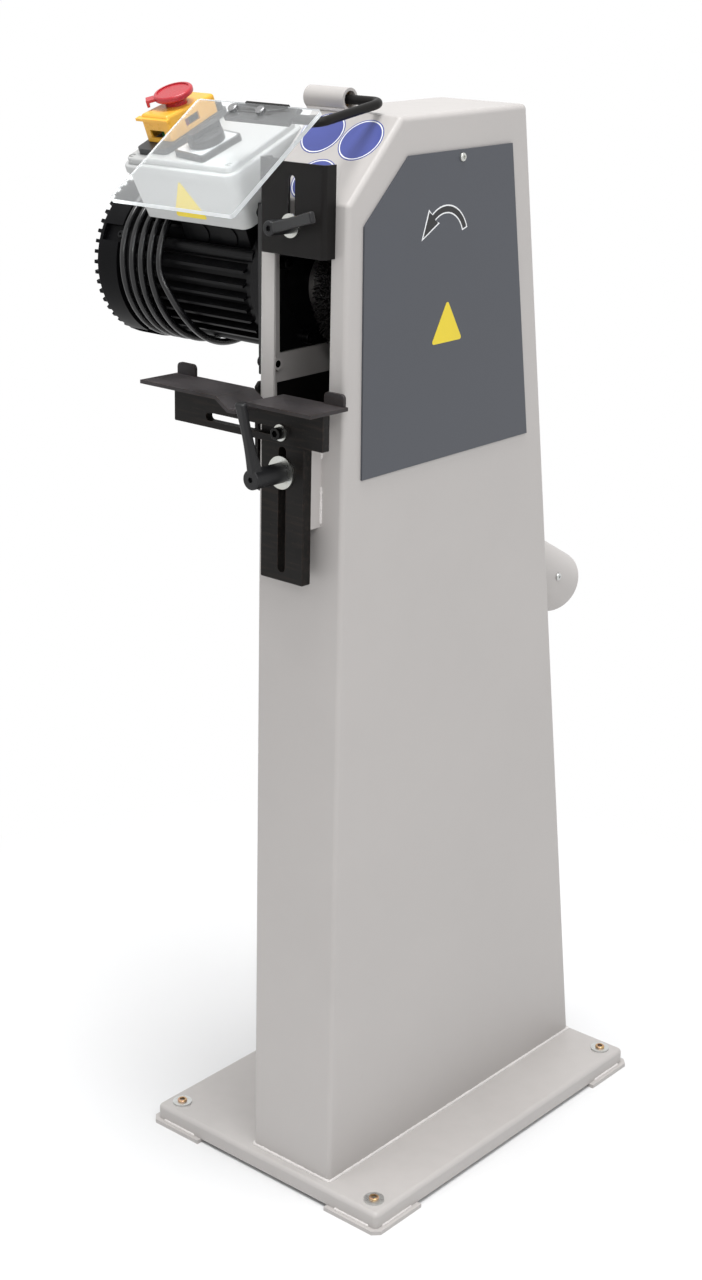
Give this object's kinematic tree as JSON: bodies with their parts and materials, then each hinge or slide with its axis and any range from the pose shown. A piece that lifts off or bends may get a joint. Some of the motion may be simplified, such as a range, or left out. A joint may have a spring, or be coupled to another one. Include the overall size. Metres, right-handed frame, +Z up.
{
  "type": "brush deburring machine",
  "caption": "Floor-standing brush deburring machine: a tall folded steel column with a side motor, a brush behind a front opening, a workpiece rest, a guard, a clear shield and a switch box.",
  "frame": {"origin": "bottom centre of the machine's box without its cable, on the floor", "axes": "+Z is up, -Y faces the operator, +X points along the motor shaft to the door side"},
  "size_m": [0.482, 0.6298, 1.274],
  "materials": {
    "column_paint": "light grey powder coat, satin",
    "door_paint": "anthracite powder coat, fine texture",
    "black_paint": "black paint, satin",
    "gloss_black_paint": "black paint, glossy",
    "black_oxide": "blackened steel",
    "zinc_steel": "zinc plated",
    "gold_zinc": "yellow zinc plated",
    "bright_steel": "turned steel",
    "iron_core": "laminated iron and copper winding",
    "bush_bronze": "sintered bronze",
    "box_plastic": "pale grey moulded",
    "black_plastic": "black moulded",
    "yellow_plastic": "yellow moulded",
    "red_plastic": "red moulded",
    "green_plastic": "green moulded",
    "cable_rubber": "black sheath",
    "clear_panel": "clear sheet, 5 mm",
    "brush_nylon": "abrasive nylon strands"
  },
  "bodies": {
    "frame": {"base_tray": "column_paint", "foot_plates": "column_paint", "levelling_screws": "gold_zinc", "column_front": "column_paint", "column_cap": "column_paint", "column_back": "column_paint", "column_left_side": "column_paint", "column_right_side": "column_paint", "cleaning_cover": "black_paint", "panel_screws": "zinc_steel", "extraction_nozzle": "column_paint", "rest_bracket": "column_paint", "clamp_studs": "zinc_steel", "shield_pivot_tube": "column_paint", "shield_bushes": "bush_bronze", "motor_plate": "gloss_black_paint", "motor_bolts": "black_oxide", "plate_nuts": "column_paint", "motor_flange_shield": "black_paint", "motor_housing": "black_paint", "motor_rear_shield": "black_paint", "fan_cowl": "black_plastic", "stator": "iron_core", "motor_bearings": "bright_steel", "box_pedestal": "black_paint", "switch_box_body": "box_plastic", "switch_box_lid": "box_plastic", "switch_box_screws": "zinc_steel", "switch_contacts": "black_plastic", "cable_gland": "black_plastic", "estop_base": "black_plastic", "selector_plate": "black_plastic", "cable_lead": "cable_rubber", "cable_coil": "cable_rubber", "plug": "black_plastic"},
    "rotor": {"motor_shaft": "bright_steel", "rotor_core": "iron_core", "cooling_fan": "black_plastic", "brush_arbor": "bright_steel", "brush_core": "black_plastic", "brush_bristles": "brush_nylon", "brush_flange": "bright_steel", "arbor_nut": "bright_steel"},
    "guard": {"guard_plate": "black_paint"},
    "guard_clamp": {"guard_lever": "black_plastic"},
    "rest": {"rest_plate": "black_oxide", "rest_bar_screw": "black_oxide", "rest_bar_washer": "zinc_steel"},
    "table": {"rest_bar": "black_oxide", "rest_table": "black_oxide"},
    "rest_clamp": {"rest_lever": "black_plastic"},
    "shield": {"shield_arm": "black_paint", "shield_panel": "clear_panel", "shield_bolts": "zinc_steel"},
    "door": {"door_panel": "door_paint", "door_screw": "zinc_steel"},
    "estop_flap": {"estop_cover": "yellow_plastic"},
    "estop_head": {"estop_mushroom": "red_plastic"},
    "start": {"start_button": "green_plastic"},
    "stop": {"stop_button": "red_plastic"},
    "selector": {"selector_knob": "black_plastic"}
  },
  "joints": [
    {"name": "brush_spin", "type": "hinge", "parent": "frame", "child": "rotor", "pos_m": [0.088, -0.07637, 1.066], "axis": [1, 0, 0], "continuous": true},
    {"name": "guard_slide", "type": "slide", "parent": "frame", "child": "guard", "axis": [0, 0.0179, 0.9998], "range_m": [-0.046, 0.007]},
    {"name": "guard_lever_turn", "type": "hinge", "parent": "frame", "child": "guard_clamp", "pos_m": [0.088, -0.1743, 1.143], "axis": [0, -0.9998, 0.0179], "range_deg": [-60, 35]},
    {"name": "rest_slide", "type": "slide", "parent": "frame", "child": "rest", "axis": [0, 0.0179, 0.9998], "range_m": [-0.004, 0.1]},
    {"name": "table_slide", "type": "slide", "parent": "rest", "child": "table", "axis": [1, 0, 0], "range_m": [0, 0.1]},
    {"name": "rest_lever_turn", "type": "hinge", "parent": "frame", "child": "rest_clamp", "pos_m": [0.088, -0.17895, 0.884], "axis": [0, -0.9998, 0.0179], "range_deg": [-75, 75]},
    {"name": "shield_swing", "type": "hinge", "parent": "frame", "child": "shield", "pos_m": [0.088, -0.08337, 1.262], "axis": [-1, 0, 0], "range_deg": [-4, 100]},
    {"name": "door_tilt", "type": "hinge", "parent": "frame", "child": "door", "pos_m": [0.1501, -0.00437, 0.876], "axis": [0, 1, 0], "range_deg": [0, 45]},
    {"name": "estop_cover_flip", "type": "hinge", "parent": "frame", "child": "estop_flap", "pos_m": [-0.115, -0.10782, 1.24527], "axis": [-1, 0, 0], "range_deg": [0, 85]},
    {"name": "estop_press", "type": "slide", "parent": "estop_flap", "child": "estop_head", "axis": [0, -0.3746, 0.9272], "range_m": [-0.003, 0], "stiffness_N_per_m": 1500},
    {"name": "start_press", "type": "slide", "parent": "frame", "child": "start", "axis": [0, -0.3746, 0.9272], "range_m": [-0.003, 0], "stiffness_N_per_m": 800},
    {"name": "stop_press", "type": "slide", "parent": "frame", "child": "stop", "axis": [0, -0.3746, 0.9272], "range_m": [-0.003, 0], "stiffness_N_per_m": 800},
    {"name": "selector_switch", "type": "hinge", "parent": "frame", "child": "selector", "pos_m": [-0.051, -0.16878, 1.20662], "axis": [0, -0.3746, 0.9272], "range_deg": [-45, 45]}
  ]
}
